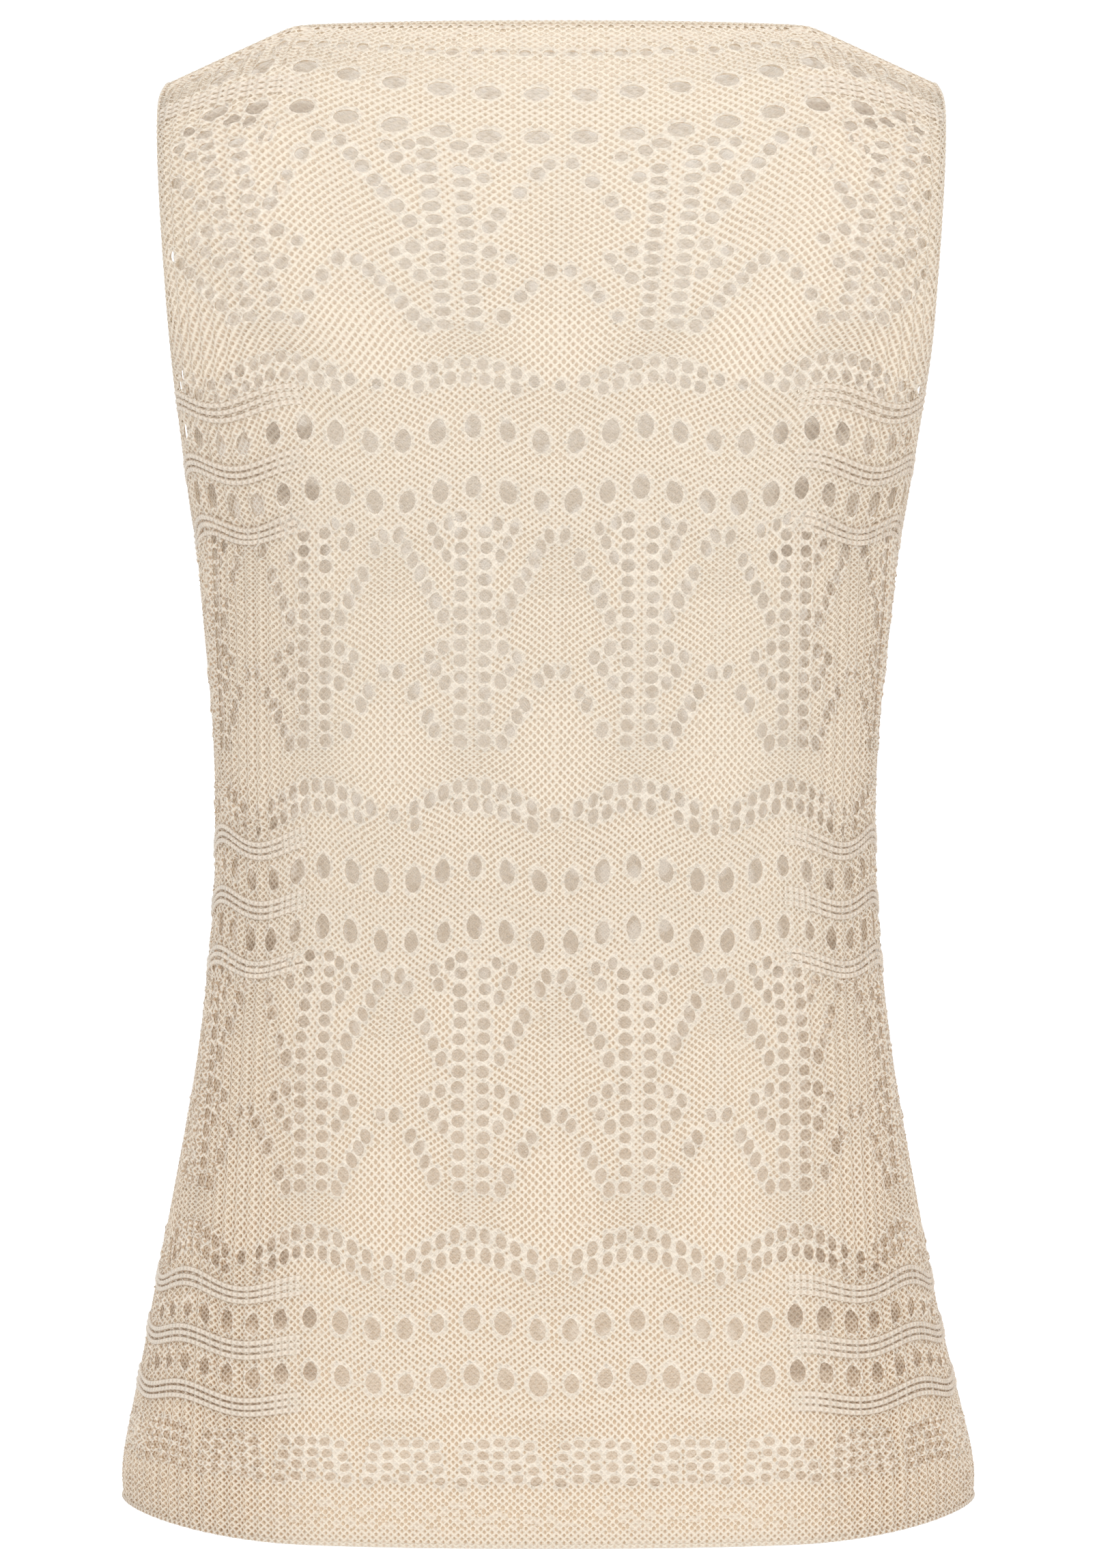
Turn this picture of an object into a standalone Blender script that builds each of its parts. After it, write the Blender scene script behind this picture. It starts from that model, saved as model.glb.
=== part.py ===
"""Open-knit sleeveless top in pointelle lace, hollow and filled out as it is worn.

The back of the top faces -Y and its right shoulder is at +X. The origin lies in the neck opening, midway between
the two neck points, where the shoulder seams start. Units are metres.
"""
import math

import bpy
import numpy as np
from mathutils import Vector
from mathutils.geometry import delaunay_2d_cdt

for old in list(bpy.data.objects):
    bpy.data.objects.remove(old)

# the cloth
CLOTH = 0.0020              # thickness of the knit
SEAM_GAP = 0.00015          # each panel stops this far short of the side and shoulder seams
RIDGE_HEIGHT = 0.0013       # how far a double purl ridge stands out of the wall
CREAM = (0.86, 0.79, 0.70, 1.0)

# the way a section bends
ROUNDNESS = 2.35            # exponent of the body sections, 2 is an ellipse
NECK_END = 0.62             # where the neck opening ends, as a share of the shoulder half width
SLOPE_START = 0.665         # where the rows start to fall towards the shoulder tip, as the same share
SLOPE_SOFTNESS = 0.10       # how softly that slope sets in
HEM_TURN = 0.55             # where the lowest rows start to rise towards the sides, as a share of their half width
UNDERARM = 0.200            # how far the underarm lies below the neck points
BACK_REACH = 0.046          # how far the armhole cuts into the back, and below into the front
FRONT_REACH = 0.042
ARMHOLE_POWERS = (2.4, 1.7)  # how square the armhole's oval is, up and across

# the grid of the walls
COLUMN_PITCH = 0.0145       # width of a wall facet
EDGE_MARGIN = 0.0080        # least cloth between an eyelet and the panel's edge
HOLE_SIDES = 6
ARMHOLE_STEPS = 14          # points along an armhole's edge
FINE = 12                   # steps between two sections of a table
ACROSS = 160                # steps from the centre line to a panel's side edge
NEAR = 1e-7                 # points closer than this are one
SHARP_DEGREES = 40

# Sections of a panel from the hem up to the neck and shoulder seam: how far the row lies below the neck points, how
# much its ends rise from that, how much its middle dips, half its width, how far its middle stands out from the
# shoulder line, and how far its line has turned from the body's round into the neck line.
SECTION_COLUMNS = ("drop", "end_rise", "dip", "half_width", "depth", "neck_share")
BACK_SECTIONS = (
    (0.5855, 0.009, 0.0000, 0.1665, 0.118, 0.00),    # hem
    (0.5650, 0.006, 0.0000, 0.1660, 0.118, 0.00),
    (0.5200, 0.003, 0.0000, 0.1568, 0.115, 0.00),    # high hip
    (0.4600, 0.000, 0.0000, 0.1458, 0.107, 0.00),
    (0.4000, 0.000, 0.0000, 0.1355, 0.098, 0.00),
    (0.3400, 0.000, 0.0000, 0.1298, 0.091, 0.00),    # waist
    (0.2850, 0.000, 0.0000, 0.1300, 0.092, 0.00),
    (0.2350, 0.000, 0.0000, 0.1345, 0.099, 0.00),
    (0.2000, 0.000, 0.0000, 0.1380, 0.105, 0.00),    # underarm
    (0.1640, 0.000, 0.0000, 0.1423, 0.107, 0.00),
    (0.1280, -0.002, 0.0000, 0.1466, 0.105, 0.00),
    (0.0920, -0.005, 0.0000, 0.1494, 0.099, 0.00),   # shoulder blade
    (0.0580, -0.011, 0.0000, 0.1514, 0.089, 0.08),
    (0.0290, -0.019, 0.0000, 0.1526, 0.077, 0.28),
    (0.0100, -0.025, 0.0010, 0.1528, 0.065, 0.60),
    (0.0000, -0.027, 0.0020, 0.1512, 0.053, 1.00),   # neck edge and shoulder seam
)
FRONT_SECTIONS = (
    (0.5855, 0.009, 0.0000, 0.1665, 0.110, 0.00),    # hem
    (0.5650, 0.006, 0.0000, 0.1660, 0.111, 0.00),
    (0.5200, 0.003, 0.0000, 0.1568, 0.110, 0.00),    # high hip
    (0.4600, 0.000, 0.0000, 0.1458, 0.105, 0.00),
    (0.4000, 0.000, 0.0000, 0.1355, 0.098, 0.00),
    (0.3400, 0.000, 0.0000, 0.1298, 0.094, 0.00),    # waist
    (0.2850, 0.000, 0.0000, 0.1300, 0.104, 0.00),
    (0.2350, 0.000, 0.0000, 0.1345, 0.118, 0.00),    # bust
    (0.2000, 0.000, 0.0000, 0.1380, 0.119, 0.00),    # underarm
    (0.1640, 0.000, 0.0000, 0.1423, 0.112, 0.00),
    (0.1280, -0.002, 0.0000, 0.1466, 0.102, 0.00),
    (0.0920, -0.005, 0.0000, 0.1494, 0.092, 0.00),
    (0.0580, -0.011, 0.0000, 0.1514, 0.081, 0.08),
    (0.0290, -0.019, 0.0000, 0.1526, 0.069, 0.28),
    (0.0100, -0.025, 0.0005, 0.1528, 0.057, 0.60),
    (0.0000, -0.027, 0.0010, 0.1512, 0.046, 1.00),   # neck edge and shoulder seam
)

# Rows of large eyelets: how far they lie below the neck points at the centre back, the length of the pattern repeat
# there, how many eyelets a repeat has, an eyelet's width and height, and how far the row rises and falls as a wave.
EYELET_COLUMNS = ("drop", "repeat", "per_repeat", "width", "height", "wave")
EYELET_ROWS = (
    (0.0344, 0.0925, 5, 0.0096, 0.0050, 0.0000),
    (0.0520, 0.0925, 5, 0.0098, 0.0052, 0.0000),
    (0.1659, 0.0655, 5, 0.0062, 0.0087, 0.0031),
    (0.1888, 0.0635, 5, 0.0062, 0.0087, 0.0031),
    (0.3552, 0.0610, 5, 0.0055, 0.0088, 0.0030),
    (0.5222, 0.0626, 5, 0.0062, 0.0080, 0.0020),
)
# Double purl ridges beside the eyelet rows, by how far they lie below the neck points, with their repeats and waves.
RIDGE_COLUMNS = ("drop", "repeat", "wave")
RIDGE_ROWS = (
    (0.0432, 0.0925, 0.0000),
    (0.1545, 0.0665, 0.0031),
    (0.1773, 0.0645, 0.0031),
    (0.2005, 0.0635, 0.0031),
    (0.3205, 0.0610, 0.0030),
    (0.3437, 0.0610, 0.0030),
    (0.3668, 0.0610, 0.0030),
    (0.4905, 0.0626, 0.0020),
    (0.5120, 0.0626, 0.0020),
    (0.5335, 0.0626, 0.0020),
)
PLAIN_ROWS = (0.0200, 0.0660, 0.0890, 0.1110, 0.1330, 0.2260, 0.2490, 0.2720, 0.2950, 0.3920, 0.4160, 0.4400,
              0.4640, 0.5580)
# The rows of the yoke bend up towards the shoulders, by YOKE_BEND times the square of the distance from the centre
# line and by YOKE_LIFT at most. Each row has its own share of that, by how far it lies below the neck points.
YOKE_BEND = 1.6
YOKE_LIFT = 0.025
YOKE_COLUMNS = ("drop", "share")
YOKE_SHARES = (
    (0.0000, 0.00),
    (0.0344, 1.00),
    (0.0620, 1.00),
    (0.1000, 0.55),
    (0.1360, 0.20),
    (0.1650, 0.00),
)


def rows_of(columns, table):
    """Each row of a table as a dictionary with the names of its columns."""
    return [dict(zip(columns, row)) for row in table]


def smooth_table(table):
    """The sections with FINE steps between each two, on a smooth curve through them (Catmull-Rom)."""
    rows = np.array(table, float)
    before = np.vstack([2 * rows[0] - rows[1], rows[:-1]])
    after = np.vstack([rows[1:], 2 * rows[-1] - rows[-2]])
    slopes = (after - before) / 2
    out = []
    for k in range(len(rows) - 1):
        for step in range(FINE):
            t = step / FINE
            out.append((2 * t**3 - 3 * t**2 + 1) * rows[k] + (t**3 - 2 * t**2 + t) * slopes[k]
                       + (3 * t**2 - 2 * t**3) * rows[k + 1] + (t**3 - t**2) * slopes[k + 1])
    return np.array(out + [rows[-1]])


def armhole_gap(drop, reach):
    """How far a row's end stays from the side line, so that both panels leave an oval armhole."""
    share = min(max((UNDERARM - drop) / UNDERARM, 0), 1)
    up, across = ARMHOLE_POWERS
    return reach * (1 - abs(2 * share - 1) ** up) ** (1 / across)


def section_line(section, reach):
    """Points of one row from the centre line to its side edge, evenly spaced along the cloth, and its length."""
    s = dict(zip(SECTION_COLUMNS, section))
    end = armhole_gap(s["drop"], reach)
    r = np.sin(np.linspace(0, math.pi / 2, 6 * ACROSS))
    body = np.clip(1 - r**ROUNDNESS, 0, 1) ** (1 / ROUNDNESS)
    neck = np.clip(1 - (r / NECK_END) ** 2, 0, 1)
    round_in = (1 - s["neck_share"]) * body + s["neck_share"] * neck
    out = end + (s["depth"] - end) * round_in
    if s["end_rise"] < 0:
        past = (r - SLOPE_START) / (1 - SLOPE_START)
        fall = (past + np.sqrt(past**2 + SLOPE_SOFTNESS**2)) / 2
    else:
        fall = (np.clip(r - HEM_TURN, 0, 1) / (1 - HEM_TURN)) ** 2
    line = np.stack([s["half_width"] * r, out, s["end_rise"] * fall - s["drop"] - s["dip"] * neck], 1)
    run = np.concatenate([[0], np.cumsum(np.linalg.norm(np.diff(line, axis=0), axis=1))])
    even = np.linspace(0, run[-1], ACROSS + 1)
    return np.stack([np.interp(even, run, line[:, k]) for k in range(3)], 1), run[-1]


class Cloth:
    """A panel's surface. A place on it is (c, v): metres of cloth from the centre line, and up from the hem."""

    def __init__(self, table, reach, side, leaf_shift):
        self.side = side
        self.leaf_shift = leaf_shift    # where the centre line lies in the repeat: 0 in a leaf, 0.5 between two
        sections = smooth_table(table)
        lines = [section_line(s, reach) for s in sections]
        self.points = np.array([line for line, _ in lines])
        self.points[:, :, 1] = side * (self.points[:, :, 1] + SEAM_GAP)
        self.half = np.array([length for _, length in lines])
        centre = self.points[:, 0]
        self.up = np.concatenate([[0], np.cumsum(np.linalg.norm(np.diff(centre, axis=0), axis=1))])
        self.drops = sections[:, 0]
        self.length = self.up[-1]
        along_row = np.gradient(self.points, axis=1)
        along_up = np.gradient(self.points, axis=0)
        normals = side * np.cross(along_up, along_row)
        normals[np.abs(self.points[:, :, 1]) < 2 * SEAM_GAP, 1] = 0
        normals[:, 0, 0] = 0
        self.normals = normals / np.linalg.norm(normals, axis=2, keepdims=True)

    def half_length(self, v):
        """Metres of cloth from the centre line to the side edge at height v."""
        return np.interp(v, self.up, self.half)

    def height_at(self, drop):
        """v of the row that lies this far below the neck points at the centre."""
        return np.interp(-np.asarray(drop), -self.drops, self.up)

    def look_up(self, grid, c, v):
        row = np.interp(v, self.up, np.arange(len(self.up)))
        col = np.clip(np.abs(c) / self.half_length(v), 0, 1) * ACROSS
        r0 = np.minimum(row.astype(int), len(self.up) - 2)
        c0 = np.minimum(col.astype(int), ACROSS - 1)
        fr, fc = (row - r0)[:, None], (col - c0)[:, None]
        low = grid[r0, c0] * (1 - fc) + grid[r0, c0 + 1] * fc
        high = grid[r0 + 1, c0] * (1 - fc) + grid[r0 + 1, c0 + 1] * fc
        found = low * (1 - fr) + high * fr
        found[:, 0] *= np.where(c < 0, -1, 1)
        return found

    def place(self, c, v, out):
        """Points at cloth places (c, v), moved out of the surface by out."""
        c, v = np.asarray(c, float), np.asarray(v, float)
        normal = self.look_up(self.normals, c, v)
        normal /= np.linalg.norm(normal, axis=1, keepdims=True)
        found = self.look_up(self.points, c, v) + normal * np.asarray(out)[:, None]
        found[:, 1] = self.side * np.maximum(self.side * found[:, 1], SEAM_GAP)
        return found


def rise(cloth, c, row):
    """How far a row stands above its own height at c: the yoke's bend, and a wave that is lowest at the middle of a
    leaf and highest between two leaves."""
    drops, shares = np.array(YOKE_SHARES).T
    bend = YOKE_BEND * c**2
    bend = bend / (1 + (bend / YOKE_LIFT) ** 4) ** 0.25 * np.interp(row["drop"], drops, shares)
    return bend - row["wave"] * np.cos(2 * math.pi * (c / row["repeat"] + cloth.leaf_shift))


def eyelets(cloth, row):
    """Centres of a row's eyelets, on both sides of the centre line, that lie clear of the panel's edge."""
    pitch = row["repeat"] / row["per_repeat"]
    count = int(cloth.half.max() / pitch) + 1
    c = (np.arange(-count, count + 1) + 0.5 - row["per_repeat"] * cloth.leaf_shift) * pitch
    v = cloth.height_at(row["drop"]) + rise(cloth, c, row)
    clear = np.abs(c) + row["width"] / 2 + EDGE_MARGIN < cloth.half_length(v)
    return c[clear], v[clear]


def edge_places(cloth):
    """The panel's outline, all round: hem, right side, neck and shoulders, left side."""
    below = [float(cloth.height_at(d)) for d in sorted(row_drops(), reverse=True) if d > UNDERARM]
    underarm = float(cloth.height_at(UNDERARM))
    turns = [math.pi * k / ARMHOLE_STEPS for k in range(ARMHOLE_STEPS)]
    above = [underarm + (cloth.length - underarm) * (1 - math.cos(a)) / 2 for a in turns]

    def row(v):
        half = float(cloth.half_length(v))
        count = round(2 * half / COLUMN_PITCH)
        return [(half * (2 * k / count - 1), v) for k in range(count + 1)]

    right = [(float(cloth.half_length(v)), v) for v in below + above]
    left = [(-c, v) for c, v in reversed(right)]
    return row(0.0) + right + row(cloth.length)[::-1] + left


def row_drops():
    return [r["drop"] for r in rows_of(RIDGE_COLUMNS, RIDGE_ROWS)] + list(PLAIN_ROWS)


def inner_places(cloth):
    """Grid points inside the outline as (c, v, how far the outer face stands out)."""
    found = []
    rows = [(row["drop"], row, RIDGE_HEIGHT) for row in rows_of(RIDGE_COLUMNS, RIDGE_ROWS)]
    rows += [(drop, {"drop": drop, "repeat": 1.0, "wave": 0.0}, 0.0) for drop in PLAIN_ROWS]
    for number, (drop, row, height) in enumerate(sorted(rows, key=lambda entry: entry[0])):
        level = float(cloth.height_at(drop))
        half = float(cloth.half_length(level))
        count = round(2 * half / COLUMN_PITCH)
        shift = 0.5 * (number % 2)
        c = half * (2 * (np.arange(1, count) + shift) / count - 1)
        v = level + rise(cloth, c, row)
        clear = np.abs(c) < cloth.half_length(v) - COLUMN_PITCH / 3
        found += [(float(a), float(b), height) for a, b in zip(c[clear], v[clear])]
    return found


def wall(name, cloth, material):
    """A closed wall: an outer and an inner face on the same triangles, joined round its edge and its eyelets."""
    edge = edge_places(cloth)
    places = [(c, v, 0.0) for c, v in edge] + inner_places(cloth)
    loops = [list(range(len(edge)))]
    corners = [2 * math.pi * (k + 0.5) / HOLE_SIDES for k in range(HOLE_SIDES)]
    for row in rows_of(EYELET_COLUMNS, EYELET_ROWS):
        for c, v in zip(*eyelets(cloth, row)):
            loops.append(list(range(len(places), len(places) + HOLE_SIDES)))
            places += [(c + row["width"] / 2 * math.cos(a), v + row["height"] / 2 * math.sin(a), 0.0) for a in corners]
    hole = {place: number for number, loop in enumerate(loops[1:]) for place in loop}
    edges = [(loop[k], loop[(k + 1) % len(loop)]) for loop in loops for k in range(len(loop))]
    flat = [Vector((c, v)) for c, v, _ in places]
    verts, _, faces, source, _, _ = delaunay_2d_cdt(flat, edges, [], 0, NEAR)
    outline = np.array(edge)
    cloth_faces = []
    for face in faces:
        at = [source[i][0] for i in face]
        in_one_hole = at[0] in hole and len({hole.get(i) for i in at}) == 1
        if not in_one_hole and inside(outline, np.mean([verts[i] for i in face], axis=0)):
            cloth_faces.append(at)

    c, v, out = np.array(places).T
    outer_points = cloth.place(c, v, out)
    inner_points = cloth.place(c, v, np.full(len(c), -CLOTH))
    count = len(places)
    triangles = [tuple(f) for f in cloth_faces] + [tuple(i + count for i in reversed(f)) for f in cloth_faces]
    directed = {(f[k], f[(k + 1) % 3]) for f in cloth_faces for k in range(3)}
    for a, b in sorted(directed):
        if (b, a) not in directed:
            triangles += [(b, a, a + count), (b, a + count, b + count)]
    mesh = bpy.data.meshes.new(name)
    mesh.from_pydata(np.vstack([outer_points, inner_points]).tolist(), [], triangles)
    if cloth.side > 0:
        mesh.flip_normals()
    mesh.materials.append(material)
    mesh.shade_smooth()
    mesh.set_sharp_from_angle(angle=math.radians(SHARP_DEGREES))
    bpy.context.collection.objects.link(bpy.data.objects.new(name, mesh))


def inside(outline, point):
    """Whether a point lies inside a closed outline."""
    a, b = outline, np.roll(outline, -1, axis=0)
    crosses = (a[:, 1] > point[1]) != (b[:, 1] > point[1])
    with np.errstate(divide="ignore", invalid="ignore"):
        at = a[:, 0] + (point[1] - a[:, 1]) * (b[:, 0] - a[:, 0]) / (b[:, 1] - a[:, 1])
    return bool(np.count_nonzero(crosses & (point[0] < at)) % 2)


def knit_material():
    material = bpy.data.materials.new("cream_knit")
    material.use_nodes = True
    shader = material.node_tree.nodes["Principled BSDF"]
    shader.inputs["Base Color"].default_value = CREAM
    shader.inputs["Roughness"].default_value = 0.6
    shader.inputs["Metallic"].default_value = 0.0
    return material


knit = knit_material()
wall("back_panel", Cloth(BACK_SECTIONS, BACK_REACH, -1, 0.0), knit)
wall("front_panel", Cloth(FRONT_SECTIONS, FRONT_REACH, 1, 0.5), knit)
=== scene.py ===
import math

import bpy
import numpy as np
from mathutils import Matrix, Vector
from mathutils.geometry import delaunay_2d_cdt


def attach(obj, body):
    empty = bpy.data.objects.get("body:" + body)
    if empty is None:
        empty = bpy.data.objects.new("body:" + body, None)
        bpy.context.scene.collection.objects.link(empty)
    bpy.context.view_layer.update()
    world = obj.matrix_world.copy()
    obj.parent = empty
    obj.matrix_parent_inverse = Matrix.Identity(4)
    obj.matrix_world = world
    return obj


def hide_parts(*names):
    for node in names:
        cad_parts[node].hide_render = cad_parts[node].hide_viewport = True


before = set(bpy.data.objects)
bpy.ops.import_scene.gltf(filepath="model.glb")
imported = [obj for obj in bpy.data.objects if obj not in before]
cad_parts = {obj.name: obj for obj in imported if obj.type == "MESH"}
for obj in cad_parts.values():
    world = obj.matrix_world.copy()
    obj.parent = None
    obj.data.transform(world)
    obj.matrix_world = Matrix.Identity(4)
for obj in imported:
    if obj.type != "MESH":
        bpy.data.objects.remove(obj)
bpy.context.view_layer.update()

# The photo looks square at the back of the top, from its middle height and about 2.75 m away, with a long
# lens. It is 1607 x 2296 pixels, and 3.73 of them cover 1 mm in the plane of the side seams.
eye = bpy.data.cameras.new("photo_view")
eye.sensor_fit = "VERTICAL"
eye.sensor_height = 24
eye.lens = 107.2
viewpoint = bpy.data.objects.new("photo_view", eye)
viewpoint.location = (-0.0012, -2.75, -0.298)
viewpoint.rotation_euler = (math.pi / 2, 0, 0)
bpy.context.scene.collection.objects.link(viewpoint)
bpy.context.scene.camera = viewpoint
bpy.context.scene.view_settings.view_transform = "Standard"

# The floor is a plain white board below the hem. The room round it is white, and gives less light from the
# left and right than from the front and back. Three large soft lamps stand behind the viewer and to both sides.
FLOOR_HEIGHT = -1.25
FLOOR_SIZE = 9.0
LAMPS_AIM = (0, 0, -0.3)
LAMPS = (
    ("lamp_behind_viewer", (0.2, -3.4, 0.5), 2.6, 12),
    ("lamp_high_left", (-2.2, -2.0, 1.7), 2.0, 10),
    ("lamp_high_right", (2.4, -1.6, 1.2), 2.0, 12),
)


def plain_finish(name, colour, roughness):
    material = bpy.data.materials.new(name)
    material.use_nodes = True
    shader = material.node_tree.nodes["Principled BSDF"]
    shader.inputs["Base Color"].default_value = colour
    shader.inputs["Roughness"].default_value = roughness
    return material


class Nodes:
    """Builds a node tree by short calls."""

    def __init__(self, owner):
        self.tree = owner.node_tree

    def add(self, kind, **settings):
        node = self.tree.nodes.new(kind)
        for key, value in settings.items():
            setattr(node, key, value)
        return node

    def link(self, a, b):
        self.tree.links.new(a, b)

    def math(self, operation, a, b=None):
        node = self.add("ShaderNodeMath", operation=operation)
        for socket, value in zip(node.inputs, (a, b)):
            if value is None:
                continue
            if isinstance(value, (int, float)):
                socket.default_value = value
            else:
                self.link(value, socket)
        return node.outputs[0]

    def ranged(self, value, low, high, least=0.0, most=1.0, interpolation="LINEAR"):
        """From least to most as the value goes from low to high."""
        node = self.add("ShaderNodeMapRange", interpolation_type=interpolation)
        self.link(value, node.inputs["Value"])
        node.inputs["From Min"].default_value = low
        node.inputs["From Max"].default_value = high
        node.inputs["To Min"].default_value = least
        node.inputs["To Max"].default_value = most
        return node.outputs["Result"]

    def mixed(self, share, colour, other, blend="MIX"):
        """The colour, mixed by the share with another that is the same everywhere."""
        node = self.add("ShaderNodeMix", data_type="RGBA", blend_type=blend)
        self.link(share, node.inputs["Factor"])
        self.link(colour, node.inputs["A"])
        node.inputs["B"].default_value = (*other, 1)
        return node.outputs["Result"]


half = FLOOR_SIZE / 2
corners = [(-half, -half, 0), (half, -half, 0), (half, half, 0), (-half, half, 0)]
board = bpy.data.meshes.new("floor")
board.from_pydata(corners, [], [(0, 1, 2, 3)])
board.materials.append(plain_finish("white_board", (0.92, 0.92, 0.92, 1), 0.9))
floor = bpy.data.objects.new("floor", board)
floor.location = (0, 0, FLOOR_HEIGHT)
bpy.context.scene.collection.objects.link(floor)

room = bpy.data.worlds.new("white_room")
room.use_nodes = True
walls = room.node_tree.nodes["Background"]
walls.inputs["Color"].default_value = (1.0, 1.0, 1.0, 1)
wired = Nodes(room)
direction = wired.add("ShaderNodeTexCoord")
sideways = wired.add("ShaderNodeSeparateXYZ")
wired.link(direction.outputs["Generated"], sideways.inputs[0])
given = wired.ranged(wired.math("ABSOLUTE", sideways.outputs["X"]), 0.35, 0.95, 1.28, 0.82)
seen = wired.add("ShaderNodeLightPath")
wired.link(wired.math("MAXIMUM", seen.outputs["Is Camera Ray"], given), walls.inputs["Strength"])
bpy.context.scene.world = room

for name, place, size, power in LAMPS:
    lamp = bpy.data.lights.new(name, "AREA")
    lamp.shape = "DISK"
    lamp.size = size
    lamp.energy = power
    lamp_object = bpy.data.objects.new(name, lamp)
    lamp_object.location = place
    aim = Vector(LAMPS_AIM) - Vector(place)
    lamp_object.rotation_euler = aim.to_track_quat("-Z", "Y").to_euler()
    bpy.context.scene.collection.objects.link(lamp_object)

# The back panel is one piece of pointelle lace, knitted from the hem up in a shiny cream yarn of several plies.
# Each row of eyelets, leaf outline and ladder is yarn-overs with the stitches beside them knitted together. It
# is linked to the front panel at the sides and shoulders.
SEAM_GAP = 0.00015          # each panel stops this far short of the seams
ROUNDNESS = 2.35            # exponent of the body sections, 2 is an ellipse
NECK_END = 0.62             # where the neck opening ends, as a share of the shoulder half width
SLOPE_START = 0.665         # where the rows start to fall towards the shoulder tip, as the same share
SLOPE_SOFTNESS = 0.07       # how softly that slope sets in
HEM_TURN = 0.55             # where the lowest rows start to rise towards the sides
UNDERARM = 0.200            # how far the underarm lies below the neck points
BACK_REACH = 0.046          # how far the armhole cuts into the back
ARMHOLE_POWERS = (2.4, 1.7) # how square the armhole's oval is, up and across
FINE = 12                   # steps between two sections of a table
ACROSS = 160                # steps from the centre line to a panel's side edge
# Sections from the hem up: how far the row lies below the neck points, how much its ends rise, how much its
# middle dips, half its width, how far its middle stands out, and its share of the neck line's shape.
SECTION_COLUMNS = ("drop", "end_rise", "dip", "half_width", "depth", "neck_share")
BACK_SECTIONS = (
    (0.5855, 0.009, 0.0000, 0.1665, 0.118, 0.00),    # hem
    (0.5650, 0.006, 0.0000, 0.1660, 0.118, 0.00),
    (0.5200, 0.003, 0.0000, 0.1568, 0.115, 0.00),    # high hip
    (0.4600, 0.000, 0.0000, 0.1458, 0.107, 0.00),
    (0.4000, 0.000, 0.0000, 0.1355, 0.098, 0.00),
    (0.3400, 0.000, 0.0000, 0.1298, 0.091, 0.00),    # waist
    (0.2850, 0.000, 0.0000, 0.1300, 0.092, 0.00),
    (0.2350, 0.000, 0.0000, 0.1345, 0.099, 0.00),
    (0.2000, 0.000, 0.0000, 0.1380, 0.105, 0.00),    # underarm
    (0.1640, 0.000, 0.0000, 0.1423, 0.107, 0.00),
    (0.1280, -0.002, 0.0000, 0.1466, 0.105, 0.00),
    (0.0920, -0.004, 0.0000, 0.1494, 0.099, 0.00),   # shoulder blade
    (0.0580, -0.009, 0.0000, 0.1514, 0.089, 0.08),
    (0.0290, -0.016, 0.0008, 0.1526, 0.077, 0.28),
    (0.0100, -0.0215, 0.0024, 0.1528, 0.065, 0.60),
    (0.0000, -0.0235, 0.0040, 0.1512, 0.053, 1.00),   # neck edge and shoulder seam
)

# How wide the pattern repeat is, by how far a row lies below the neck points.
REPEATS = (
    (0.000, 0.0930), (0.050, 0.0920), (0.100, 0.0820), (0.124, 0.0768), (0.136, 0.0725), (0.166, 0.0655),
    (0.189, 0.0636), (0.290, 0.0636), (0.332, 0.0605), (0.355, 0.0610), (0.400, 0.0638), (0.502, 0.0630),
    (0.586, 0.0625),
)
WALES = 22                  # stitches in a repeat
COURSE = 0.00262            # height of a course: two staggered rows of small holes
FIRST_ROW = 0.0016          # how far the top row of small holes lies below the neck points
HALF_WIDTH = 0.25           # the rows are laid out this far to both sides, and end at the panel's edge
# How far a course rises and falls, by the same drop: lowest at the leaves where the number is above zero.
WAVES = (
    (0.000, 0.0000), (0.058, 0.0000), (0.075, -0.0010), (0.100, -0.0030), (0.122, -0.0020), (0.144, 0.0040),
    (0.154, 0.0034), (0.166, 0.0031), (0.200, 0.0031), (0.215, 0.0000), (0.230, -0.0030), (0.270, -0.0030),
    (0.306, 0.0044), (0.320, 0.0034), (0.332, 0.0030), (0.367, 0.0030), (0.382, 0.0000), (0.398, -0.0030),
    (0.440, -0.0030), (0.476, 0.0044), (0.490, 0.0026), (0.502, 0.0020), (0.535, 0.0020), (0.548, 0.0000),
    (0.587, 0.0000),
)
# The rows of the yoke bend up towards the shoulders: how strongly, how far at most, and each row's share of it.
YOKE_BEND = 1.6
YOKE_LIFT = 0.025
YOKE_SHARES = ((0.0000, 0.00), (0.0344, 1.00), (0.0620, 1.00), (0.1000, 0.55), (0.1360, 0.20), (0.1650, 0.00))

# Rows of eyelets that run all round: how many a repeat has, an eyelet's width and height, how far its top leans
# out from the leaf at most, in degrees, and how pointed its top is.
ROW_COLUMNS = ("drop", "per_repeat", "width", "height", "lean", "point")
EYELET_ROWS = (
    (0.0164, 10, 0.0052, 0.0034, 0, 0.0),
    (0.0344, 5, 0.0100, 0.0058, 0, 0.0),
    (0.0520, 5, 0.0102, 0.0060, 0, 0.0),
    (0.1659, 5, 0.0066, 0.0094, 12, 0.3),
    (0.1888, 5, 0.0066, 0.0094, 12, 0.3),
    (0.3321, 5, 0.0059, 0.0092, 12, 0.3),
    (0.3552, 5, 0.0059, 0.0094, 12, 0.3),
    (0.5019, 5, 0.0065, 0.0088, 10, 0.3),
    (0.5222, 5, 0.0067, 0.0086, 10, 0.3),
)
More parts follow.
